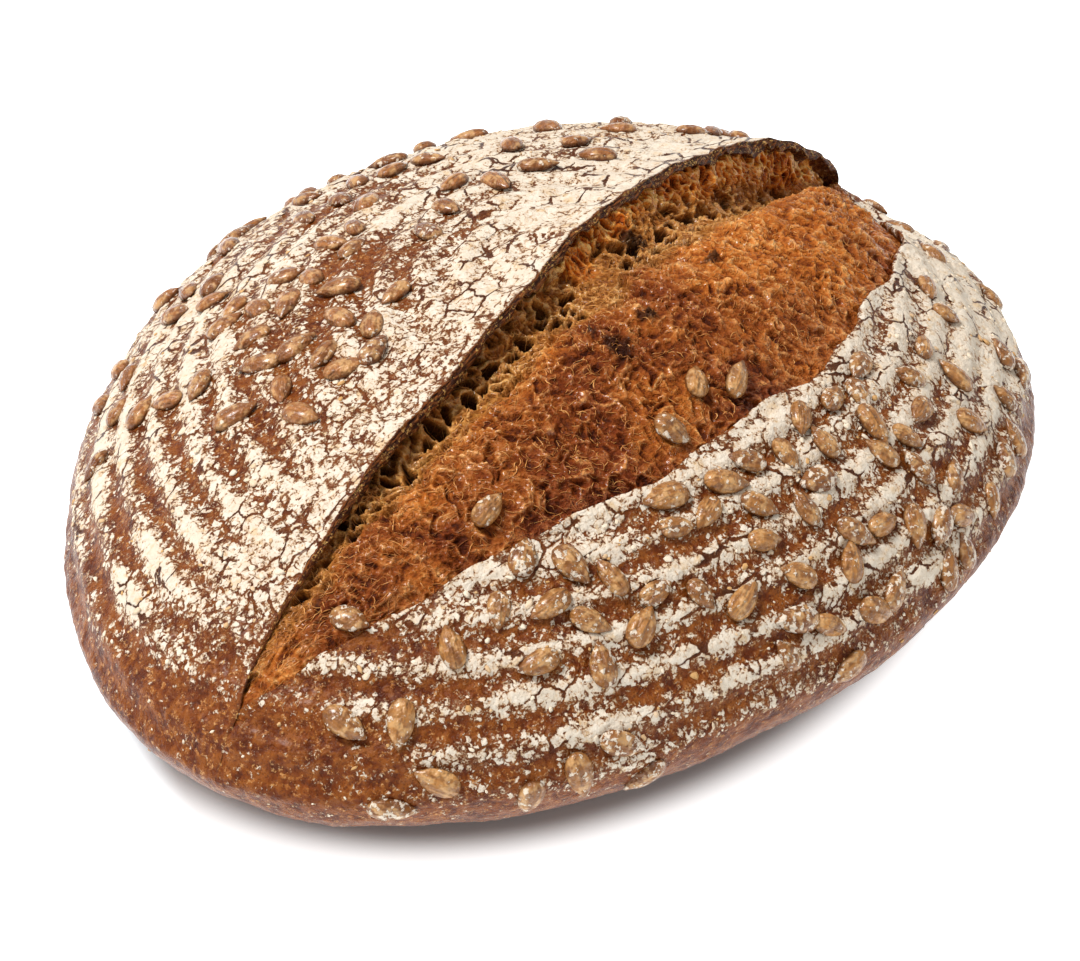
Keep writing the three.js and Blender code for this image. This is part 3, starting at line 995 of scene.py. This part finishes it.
def scattered(name, shape, faces, spots, sink, dice, wobble, jitter=0.0):
    """One piece from a shape copied to spots, each a place, the way it points, the way out
    of the crust and its size. wobble changes a copy's three sizes by up to that share, and
    jitter moves each of its vertices."""
    points, own, local, far = [], [], [], []
    for place, along, normal, size in spots:
        side = np.cross(along, normal)
        lean = np.stack([side, normal, along])
        grown = (shape + dice.uniform(-jitter, jitter, shape.shape)) * size
        grown = grown * dice.uniform(1 - wobble, 1 + wobble, 3)
        points.append(place + normal * sink * size + grown @ lean)
        own.append(np.full(len(shape), dice.random()))
        far.append(np.full(len(shape), place[1] > 0))
        local.append(shape)
    count = len(shape)
    all_faces = [[index + count * k for index in face] for k in range(len(spots)) for face in faces]
    local = np.concatenate(local)
    values = {"own": np.concatenate(own), "far": np.concatenate(far)}
    values.update({"own_" + axis: local[:, k] for k, axis in enumerate("xyz")})
    return loose_piece(name, np.concatenate(points), all_faces, values)


for x, y, spin in BLOOM_KERNELS:
    across = (ear_y(x) + UNDER_EAR - y) / (ear_y(x) + (UNDER_EAR + UNDER_CRUST) - bloom_y(x))
    place, ahead, beyond = on_crumb(np.array([x, x + 2, x]), np.array([across, across, across + 0.05]))
    normal = unit(np.cross(beyond - place, ahead - place))
    side = unit(np.cross(normal, ahead - place))
    along = unit(ahead - place) * math.cos(spin) + side * math.sin(spin)
    along = unit(along - normal * (along @ normal))
    kernel_spots.append((place + normal * BLOOM_KERNEL_LIFT, along, normal, 1.0))
kernel_sink = KERNEL["thick"] * 0.22
kernels = scattered(
    "kernels", kernel_shape, kernel_faces, kernel_spots, sink=kernel_sink, dice=kernel_dice, wobble=0.08
)

# %% [markdown]
# ## Crumbs of flour and chaff
# Coarse rye flour and bits of bran cling to the crust as chips that stand off it. They are
# small, but they catch the light and cast shadows, so they are mesh too: a twenty-sided
# ball, flattened and knocked out of shape, copied fifteen hundred times.

# %% Chips
CHIPS = 1500
CHIPS_FROM, CHIPS_TO = 40, 120
# a chip's width, thickness and length, before its own size
FLAKE = [0.85, 0.3, 1.1]
chip_dice = np.random.default_rng(23)


def chip_spots():
    spots = []
    while len(spots) < CHIPS:
        turn = chip_dice.uniform(-math.pi, math.pi)
        up = CHIPS_FROM + (CHIPS_TO - CHIPS_FROM) * chip_dice.random()
        here, along, normal = frame_at(turn, up, chip_dice.uniform(0, 2 * math.pi))
        if not on_crust(here, off_bloom=1, off_ear=2):
            continue
        amount = (back_flour if here[1] > 0 else front_flour)(here[None], np.array([up]))[0]
        if chip_dice.random() > 0.02 + 0.8 * amount:
            continue
        # powers of a draw make most chips small and a few large
        size = 0.3 + 0.55 * chip_dice.random() ** 3 + 0.5 * chip_dice.random() ** 9
        off = crust_relief(here[None], np.array([up]), np.array([amount]))[0]
        spots.append((here + normal * off, along, normal, size))
    return spots


def shaped_chip():
    deselect()
    bpy.ops.mesh.primitive_ico_sphere_add(subdivisions=1, radius=1)
    co, faces = taken_apart(bpy.context.object)
    return co * FLAKE, faces


chip_shape, chip_faces = shaped_chip()
chips = scattered(
    "chips", chip_shape, chip_faces, chip_spots(), sink=0.1, dice=chip_dice, wobble=0.4, jitter=0.2
)

# %% [markdown]
# ## Shader maths as sums
# A material is a graph of nodes, and a graph of sums is hard to read. This class wraps a
# socket so that Python's own signs add the Math nodes.


# %% Socket wrapper
class Signal:
    """A socket of a material, on which sums can be written."""

    def __init__(self, tree, socket=None):
        self.tree, self.socket = tree, socket

    def node(self, kind, settings=None, sockets=None, output=0):
        node = self.tree.nodes.new("ShaderNode" + kind)
        for key, value in (settings or {}).items():
            if key != "stops":
                setattr(node, key, value)
                continue
            while len(node.color_ramp.elements) < len(value):
                node.color_ramp.elements.new(0.5)
            for element, (at, colour) in zip(node.color_ramp.elements, value):
                element.position, element.color = at, colour
        for key, value in (sockets or {}).items():
            if isinstance(value, Signal):
                self.tree.links.new(value.socket, node.inputs[key])
            else:
                node.inputs[key].default_value = value
        return Signal(self.tree, node.outputs[output])

    def maths(self, operation, first, second):
        return self.node("Math", {"operation": operation}, {0: first, 1: second})

    def __add__(self, other):
        return self.maths("ADD", self, other)

    def __sub__(self, other):
        return self.maths("SUBTRACT", self, other)

    def __rsub__(self, other):
        return self.maths("SUBTRACT", other, self)

    def __mul__(self, other):
        return self.maths("MULTIPLY", self, other)

    __radd__ = __add__
    __rmul__ = __mul__

    def swing(self, start, end):
        """0 below start, 1 above end, and an even swing between."""
        settings = {"interpolation_type": "SMOOTHSTEP"}
        return self.node("MapRange", settings, {0: self, 1: start, 2: end, 3: 0.0, 4: 1.0})

    def limit(self):
        """The same sum, held between 0 and 1."""
        return self.node("Math", {"operation": "ADD", "use_clamp": True}, {0: self, 1: 0.0})


def shade(red, green, blue):
    """A colour as a paint chart gives it, from 0 to 255, turned into the amounts of light
    that a material needs."""
    parts = [part / 255 for part in (red, green, blue)]
    return [v / 12.92 if v <= 0.04045 else ((v + 0.055) / 1.055) ** 2.4 for v in parts] + [1.0]


def blend(amount, first, second):
    """The first colour where amount is 0 and the second where it is 1."""
    return amount.node("Mix", {"data_type": "RGBA"}, {0: amount, 6: first, 7: second}, 2)


def new_material(name):
    material = bpy.data.materials.new(name)
    material.use_nodes = True
    base = Signal(material.node_tree)
    place = base.node("TexCoord", output=3)
    place = base.node("VectorMath", {"operation": "SCALE"}, {0: place, "Scale": 1 / MM})
    return material, place


def dust(place, size, detail=3.0, harsh=0.6):
    """A noise texture with lumps about size mm across."""
    sockets = {"Vector": place, "Scale": 1 / size, "Detail": detail, "Roughness": harsh}
    return place.node("TexNoise", {}, sockets)


def warped(place, size, strength):
    """The place pushed about by noise, so that a texture on it bends."""
    push = place.node("TexNoise", {}, {"Vector": place, "Scale": 1 / size, "Detail": 2.0}, 1)
    push = place.node("VectorMath", {"operation": "SUBTRACT"}, {0: push, 1: (0.5, 0.5, 0.5)})
    push = place.node("VectorMath", {"operation": "SCALE"}, {0: push, "Scale": strength})
    return place.node("VectorMath", {"operation": "ADD"}, {0: place, 1: push})


def border(place, size):
    """Distance from the nearest border of cells about size mm across."""
    settings = {"feature": "DISTANCE_TO_EDGE"}
    return place.node("TexVoronoi", settings, {"Vector": place, "Scale": 1 / size})


def carried(place, name):
    """A number that the mesh carries at each place."""
    return place.node("Attribute", {"attribute_name": name}, output=2)


def finish_material(material, colour, roughness, height, glint=None, specular=0.15):
    """Colour, roughness and a height in mm go to the material's shader, and so does the
    share of each place that has a glossy coat, if it has any."""
    tree = material.node_tree
    shader = tree.nodes["Principled BSDF"]
    bump = height.node("Bump", {}, {"Height": height, "Distance": MM})
    links = {"Base Color": colour, "Roughness": roughness, "Normal": bump}
    if glint:
        links["Coat Weight"] = glint
    for name, signal in links.items():
        tree.links.new(signal.socket, shader.inputs[name])
    shader.inputs["Coat Roughness"].default_value = 0.2
    shader.inputs["Specular IOR Level"].default_value = specular


# %% [markdown]
# ## Crust
# The crust is caramel brown and slightly glossy where it is bare, and matt cream where
# flour lies on it. Flour breaks up as the crust stretches: into plates with dark cracks
# where it is thick, into grains where it is thin. One number says how much flour there is,
# finer noise is added to it, and flour shows wherever the sum passes a threshold.


# %% Crust material
def crust_material():
    material, place = new_material("floured crust")
    # patterns that bare crust and flour share
    flour, char = carried(place, "flour"), carried(place, "char")
    grain, grit, mottle = dust(place, 1.0), dust(place, 0.42, 2.0), dust(place, 8.0)
    flakes = place.node("TexVoronoi", {}, {"Vector": warped(place, 0.8, 0.7), "Scale": 1 / 0.85}, 1)
    flake = place.node("SeparateColor", {}, {0: flakes})
    long_way = place.node("VectorMath", {"operation": "MULTIPLY"}, {0: place, 1: (0.75, 1.15, 1.15)})
    plates, shards = border(warped(long_way, 3.0, 2.6), 6.4), border(warped(place, 1.4, 1.2), 2.3)
    strength = dust(place, 9.0, 1.0).swing(0.4, 0.62)
    crack = (1 - plates.swing(0.01, 0.07)) * (strength * 0.85 + 0.15)
    fine_crack = 1 - shards.swing(0.01, 0.14)
    shard = place.node("TexVoronoi", {}, {"Vector": warped(place, 1.6, 1.3), "Scale": 1 / 1.7}, 1)
    shard = place.node("SeparateColor", {}, {0: shard})

    # how much flour is left at each place
    thick = flour.swing(0.62, 0.95)
    specks = (shard - 0.5) * 0.36 + (flake - 0.5) * 0.46 + (grain - 0.5) * 0.6 + (grit - 0.5) * 0.62
    sprinkled = (1 - flour.swing(0.1, 0.45)) * 0.07
    level = flour + sprinkled + specks * (1 - thick * 0.35)
    level = level - crack * (thick * 0.3 + 0.5) - fine_crack * (0.3 - thick * 0.1)
    floured = level.swing(0.44, 0.54)

    # bare crust, from wide mottling to single specks
    patchy = dust(place, 2.6, 2.0)
    bare = blend(mottle.swing(0.3, 0.7), shade(88, 33, 2), shade(117, 54, 6))
    bare = blend(patchy.swing(0.42, 0.62) * 0.6, bare, shade(146, 82, 26))
    bare = blend((grit + (grain - 0.5) * 0.6).swing(0.44, 0.34) * 0.5, bare, shade(66, 24, 3))
    bare = blend((grain + (flake - 0.5) * 0.3).swing(0.58, 0.73) * 0.55, bare, shade(176, 110, 48))
    bare = blend((1 - patchy).swing(0.55, 0.7) * 0.6, bare, shade(64, 22, 3))
    bare = blend((flake * 0.5 + grit).swing(0.98, 1.08) * 0.6, bare, shade(208, 158, 100))
    bare = blend(flour.swing(0.3, 0.8) * 0.4, bare, shade(86, 40, 10))
    stained = blend(grit.swing(0.35, 0.65), shade(160, 114, 74), shade(204, 170, 134))
    film = (level - sprinkled + (grit - 0.5) * 0.3).swing(0.26, 0.52)
    bare = blend(film * 0.36, bare, stained)
    bare = blend(crack * thick * 0.75, bare, shade(54, 24, 6))

    # flour, stained where it is thin
    cream = blend(level.swing(0.48, 0.78), stained, shade(219, 203, 182))
    cream = blend(dust(place, 3.2).swing(0.54, 0.7) * 0.6, cream, shade(210, 174, 126))
    cream = blend((flake * 0.4 + shard * 0.6).swing(0.5, 0.9) * 0.5, cream, shade(233, 222, 206))
    colour = blend(floured, bare, cream)

    # the charred lip
    layered = dust(place.node("VectorMath", {"operation": "MULTIPLY"}, {0: place, 1: (0.2, 1.5, 1.5)}), 0.7)
    scorched = blend(layered.swing(0.4, 0.75), shade(50, 18, 3), shade(150, 84, 32))
    scorched = blend((grit + (flake - 0.5) * 0.4).swing(0.62, 0.76) * 0.8, scorched, shade(206, 162, 92))
    charred = (char + (grain - 0.5) * 0.4).swing(0.25, 0.6)
    colour = blend(charred, colour, scorched)

    # relief and gloss
    height = floured * 0.22 + grain * 0.45 + grit * 0.2 + flake * 0.1 + patchy * 0.7 - crack * flour * 0.35
    height = height + layered * 0.6 * charred
    roughness = floured * 0.45 + 0.33 + (grit - 0.5) * 0.5 + charred * 0.3
    glint = (1 - floured) * (grain + (patchy - 0.5) * 0.5).swing(0.45, 0.62) * 0.11
    finish_material(material, colour, roughness.limit(), height, (glint + charred * 0.04).limit())
    return material


crust_finish = crust_material()
print("crust nodes", len(crust_finish.node_tree.nodes))

# %% [markdown]
# ## Crumb
# Torn crumb baked golden or red-brown, and stayed pale where holes opened late. On each of
# these tones its crests are painted lighter and its folds and holes painted darker, as
# painted light and shade. The numbers that shaped the mesh say which is which, so colour
# and relief always agree.


# %% Crumb material
def ramp(amount, *stops):
    """Colours in even steps as the amount goes from 0 to 1."""
    spaced = [(k / (len(stops) - 1), stop) for k, stop in enumerate(stops)]
    return amount.node("ValToRGB", {"stops": spaced}, {0: amount})


def curls(place, size, warp):
    """Thin bent lines of texture: 1 on a line, 0 between."""
    folded = dust(warped(place, size, warp), size, 1.0) * 2 - 1
    return 1 - folded.node("Math", {"operation": "ABSOLUTE"}, {0: folded}).swing(0.0, 0.3)


def crumb_material():
    material, place = new_material("torn crumb")
    crest, deep, wall = carried(place, "crest"), carried(place, "deep"), carried(place, "wall")
    grain, spots = dust(place, 0.8), dust(place, 3.0)
    lines = (curls(place, 1.3, 1.0) + curls(place, 0.7, 0.6)) * 0.5
    threads = 1 - border(warped(place, 1.3, 1.5), 1.5).swing(0.02, 0.13)
    threads = threads * dust(place, 2.0, 1.0).swing(0.4, 0.6)

    # the baked field, then the wall under the ear and the pale open crumb on it
    toast = (carried(place, "toast") + (spots - 0.5) * 0.9).limit()
    # painted light and shade: each tone runs from dark in folds to light on crests
    lit = (crest * 0.85 + lines * 0.06 + threads * 0.22 + (grain - 0.5) * 0.7 + 0.06).limit()
    golden = ramp(lit, shade(98, 38, 4), shade(176, 94, 28), shade(214, 136, 60), shade(242, 186, 114))
    brown = ramp(lit, shade(54, 14, 0), shade(110, 44, 5), shade(148, 74, 20), shade(216, 144, 76))
    colour = blend(toast, golden, brown)
    webs = ramp(lit, shade(80, 24, 0), shade(192, 90, 12), shade(232, 140, 42), shade(252, 196, 106))
    colour = blend((wall * 1.3).limit(), colour, webs)
    pale = ramp(lit, shade(80, 40, 8), shade(133, 77, 23), shade(179, 117, 50), shade(222, 166, 94))
    colour = blend((carried(place, "open") + (spots - 0.5) * 0.5).swing(0.1, 0.5) * 0.9, colour, pale)
    # painted shade: holes, pockets and dimples darker the deeper they are, less on the wall
    colour = blend(deep.swing(0.2, 0.8) * (0.9 - wall * 0.4), colour, shade(42, 20, 5))

    # scorched knobs, then relief and gloss
    burnt = carried(place, "burnt")
    colour = blend((burnt + (grain - 0.5) * 0.8).swing(0.3, 0.8) * 0.85, colour, shade(40, 13, 3))
    height = grain * 0.5 + lines * 0.15 + threads * 0.25 + dust(place, 0.35, 2.0) * 0.15
    roughness = (grain - 0.5) * 0.9 + 0.5
    glint = (lit + (grain - 0.5) * 0.9 + carried(place, "calm") * 0.15).swing(0.42, 0.72) * 0.6
    glint = glint * (1 - burnt * 0.8)
    finish_material(material, colour, roughness.limit(), height, glint.limit(), specular=0.12)
    return material


crumb_finish = crumb_material()
print("crumb nodes", len(crumb_finish.node_tree.nodes))

# %% [markdown]
# ## Fibres
# A fibre is too thin to show a pattern of its own. Wide soft patches decide whether the
# fibres of a place baked pale or brown, and each fibre's own draw picks its shade in
# between. Their coat makes them glint, as dry dough does.


# %% Fibre material
def fibre_material():
    material, place = new_material("golden fibre")
    own = carried(place, "own")
    patches = dust(place, 16.0, 3.0).swing(0.36, 0.64)
    light = blend(own, shade(236, 172, 98), shade(180, 106, 44))
    dark = blend(own, shade(190, 112, 48), shade(118, 54, 16))
    colour = blend(patches * 0.8, light, dark)
    roughness, height = own * 0.2 + 0.3, dust(place, 0.6) * 0.1
    finish_material(material, colour, roughness, height, glint=own * 0.3 + 0.4)
    return material


fibre_finish = fibre_material()

# %% [markdown]
# ## Kernels and chips
# A baked sunflower kernel is tan and a little glossy, with faint ridges from end to end and
# a dusting of flour. Those on the far side baked browner. Each kernel carries its own draw,
# so that no two match.


# %% Kernel material
def kernel_material():
    material, place = new_material("baked kernel")
    own, far = carried(place, "own"), carried(place, "far")
    across_it, up_it, along_it = (carried(place, "own_" + axis) for axis in "xyz")
    near_shade = blend(own, shade(176, 120, 62), shade(128, 76, 30))
    far_shade = blend(own, shade(164, 104, 52), shade(118, 66, 26))
    colour = blend(far, near_shade, far_shade)
    flakes = place.node("TexVoronoi", {}, {"Vector": warped(place, 0.9, 0.8), "Scale": 1.0}, 1)
    flakes = place.node("SeparateColor", {}, {0: flakes})
    local = place.node("CombineXYZ", {}, {0: across_it * 1.1, 1: own * 40.0, 2: along_it * 0.2})
    ridge = place.node("TexNoise", {}, {"Vector": local, "Scale": 1.0, "Detail": 1.0})

    # ridges, stains, painted shade on the underside, dark ends and a dusting of flour
    colour = blend(ridge.swing(0.4, 0.62) * 0.5, colour, shade(96, 50, 16))
    colour = blend(dust(place, 2.2, 2.0).swing(0.45, 0.65) * 0.65, colour, shade(212, 164, 106))
    colour = blend(dust(place, 2.7, 2.0).swing(0.55, 0.68) * 0.6, colour, shade(100, 52, 16))
    # painted shade: darker towards the kernel's lower side, where it sits in the crust
    colour = blend((0.65 - up_it).swing(0.0, 1.2) * 0.85, colour, shade(80, 39, 12))
    ends = along_it.node("Math", {"operation": "ABSOLUTE"}, {0: along_it}).swing(3.0, 4.6)
    colour = blend(ends * 0.35, colour, shade(120, 70, 30))
    dusted = (dust(place, 1.3) + (flakes - 0.5) * 0.25 + own * 0.16 - far * 0.05).swing(0.68, 0.74)
    colour = blend(dusted * 0.8, colour, shade(232, 218, 198))

    height = ridge * 0.9 + dust(place, 1.8, 2.0) * 1.1 + dusted * 0.1
    glint = (1 - dusted) * dust(place, 1.1, 2.0).swing(0.38, 0.56) * 0.65
    finish_material(material, colour, dusted * 0.35 + 0.36, height, glint, specular=0.3)
    return material


def chip_material():
    material, place = new_material("flour chip")
    own = carried(place, "own")
    colour = blend(own.swing(0.55, 0.95), shade(236, 220, 196), shade(206, 160, 104))
    colour = blend(dust(place, 0.6).swing(0.5, 0.7) * 0.4, colour, shade(186, 146, 104))
    finish_material(material, colour, roughness=own * 0.1 + 0.75, height=dust(place, 0.4) * 0.2)
    return material


finishes = {
    crust_back: crust_finish,
    crust_front: crust_finish,
    crumb_left: crumb_finish,
    crumb_right: crumb_finish,
    fibres: fibre_finish,
    kernels: kernel_material(),
    chips: chip_material(),
}
for piece, finish in finishes.items():
    piece.data.materials.clear()
    piece.data.materials.append(finish)
    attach(piece, "root")
    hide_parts("loaf")
print(len(finishes), "pieces")

# %% [markdown]
# ## Floor
# The loaf lies on a white table. The table glows, as a lit studio sweep does, but not
# under the loaf and right beside it. An oval says where the glow begins, and it grows over
# the next centimetre: a painted shadow of fixed shape, in which the loaf stands.

# %% Floor
# mm: the painted shadow oval's middle and size, and the distance over which the glow grows
SHADE_OVAL = {"middle": (16, 12, 0), "half_length": 115, "half_width": 88, "soft": 12}
TABLE_COLOUR = (0.8, 0.87, 0.91, 1)
TABLE_GLOW = 0.73
# how much more the table glows in the picture than onto the loaf
MORE_FOR_CAMERA = 0.25
deselect()
bpy.ops.mesh.primitive_plane_add(size=6, location=(0, 0, 0))
floor = bpy.context.object
floor.name = "floor"
floor_material, floor_place = new_material("white table")
floor_shader = floor_material.node_tree.nodes["Principled BSDF"]
floor_shader.inputs["Base Color"].default_value = TABLE_COLOUR
out = floor_place.node("VectorMath", {"operation": "SUBTRACT"}, {0: floor_place, 1: SHADE_OVAL["middle"]})
squeeze = (1 / SHADE_OVAL["half_length"], 1 / SHADE_OVAL["half_width"], 0)
squeezed = out.node("VectorMath", {"operation": "MULTIPLY"}, {0: out, 1: squeeze})
times_oval = squeezed.node("VectorMath", {"operation": "LENGTH"}, {0: squeezed}, 1)
distance = out.node("VectorMath", {"operation": "LENGTH"}, {0: out}, 1)
# painted shadow: the glow is left out inside the oval and grows past its edge
past_oval = distance * (1 - times_oval.maths("DIVIDE", 1.0, times_oval))
from_camera = floor_place.node("LightPath")
glow = past_oval.swing(0, SHADE_OVAL["soft"]) * (from_camera * MORE_FOR_CAMERA + 1)
glow = glow.node("CombineColor", {}, {0: glow, 1: glow, 2: glow})
floor_material.node_tree.links.new(glow.socket, floor_shader.inputs["Emission Color"])
floor_shader.inputs["Emission Strength"].default_value = TABLE_GLOW
floor_shader.inputs["Roughness"].default_value = 0.9
floor_shader.inputs["Specular IOR Level"].default_value = 0.1
floor.data.materials.append(floor_material)

# %% [markdown]
# ## Light
# Two kinds of light are enough. A large lamp above and behind the loaf's left shoulder
# draws the soft shadow and the gloss on the kernels, and a plain white world fills what it
# leaves dark. The Standard view keeps whites white.

# %% Light
WORLD_LIGHT = 0.6
scene = bpy.context.scene
scene.view_settings.view_transform = "Standard"
scene.view_settings.look = "None"
world = bpy.data.worlds.new("studio")
scene.world = world
world.use_nodes = True
world.node_tree.nodes["Background"].inputs["Color"].default_value = (1, 1, 1, 1)
world.node_tree.nodes["Background"].inputs["Strength"].default_value = WORLD_LIGHT


def lamp(name, place, size, power):
    """A round lamp that looks at the loaf, with its place and size in metres."""
    bpy.ops.object.light_add(type="AREA", location=place)
    light = bpy.context.object
    light.name = name
    light.data.shape = "DISK"
    light.data.size = size
    light.data.energy = power
    aim = bpy.data.objects["body:root"].location - light.location
    light.rotation_euler = aim.to_track_quat("-Z", "Y").to_euler()


lamp("key", (-0.3, 0.45, 1.2), size=0.42, power=17)

# %% [markdown]
# ## Camera
# The camera stands off the slash's -X end, a little in front of the loaf, and looks down
# on it. It is placed by the angles of its view, and a long lens keeps the near end from
# looking too large.

# %% Camera
# mm: the height it turns about, how far below and beside that it aims, and how far off it is
AZIMUTH, ELEVATION = math.radians(-60.5), math.radians(35.0)
AIM_HEIGHT, AIM_DOWN, AIM_RIGHT = 37.786, 10.8, 0.4
AWAY = 835.92
LENS = 127.2
level_way = np.array([math.sin(AZIMUTH), -math.cos(AZIMUTH), 0])
back_way = level_way * math.cos(ELEVATION) + np.array([0, 0, math.sin(ELEVATION)])
right_way = np.array([math.cos(AZIMUTH), math.sin(AZIMUTH), 0])
up_way = np.cross(back_way, right_way)
stand = np.array([0, 0, AIM_HEIGHT]) + back_way * AWAY
aim = np.array([0, 0, AIM_HEIGHT]) - up_way * AIM_DOWN + right_way * AIM_RIGHT
bpy.ops.object.camera_add(location=stand * MM)
camera = bpy.context.object
camera.name = "camera"
camera.data.lens = LENS
camera.data.sensor_width = 36
camera.data.clip_start, camera.data.clip_end = 0.01, 20
camera.rotation_mode = "QUATERNION"
camera.rotation_quaternion = Vector((aim - stand) * MM).to_track_quat("-Z", "Y")
scene.camera = camera
print("camera", [round(v, 4) for v in camera.location])
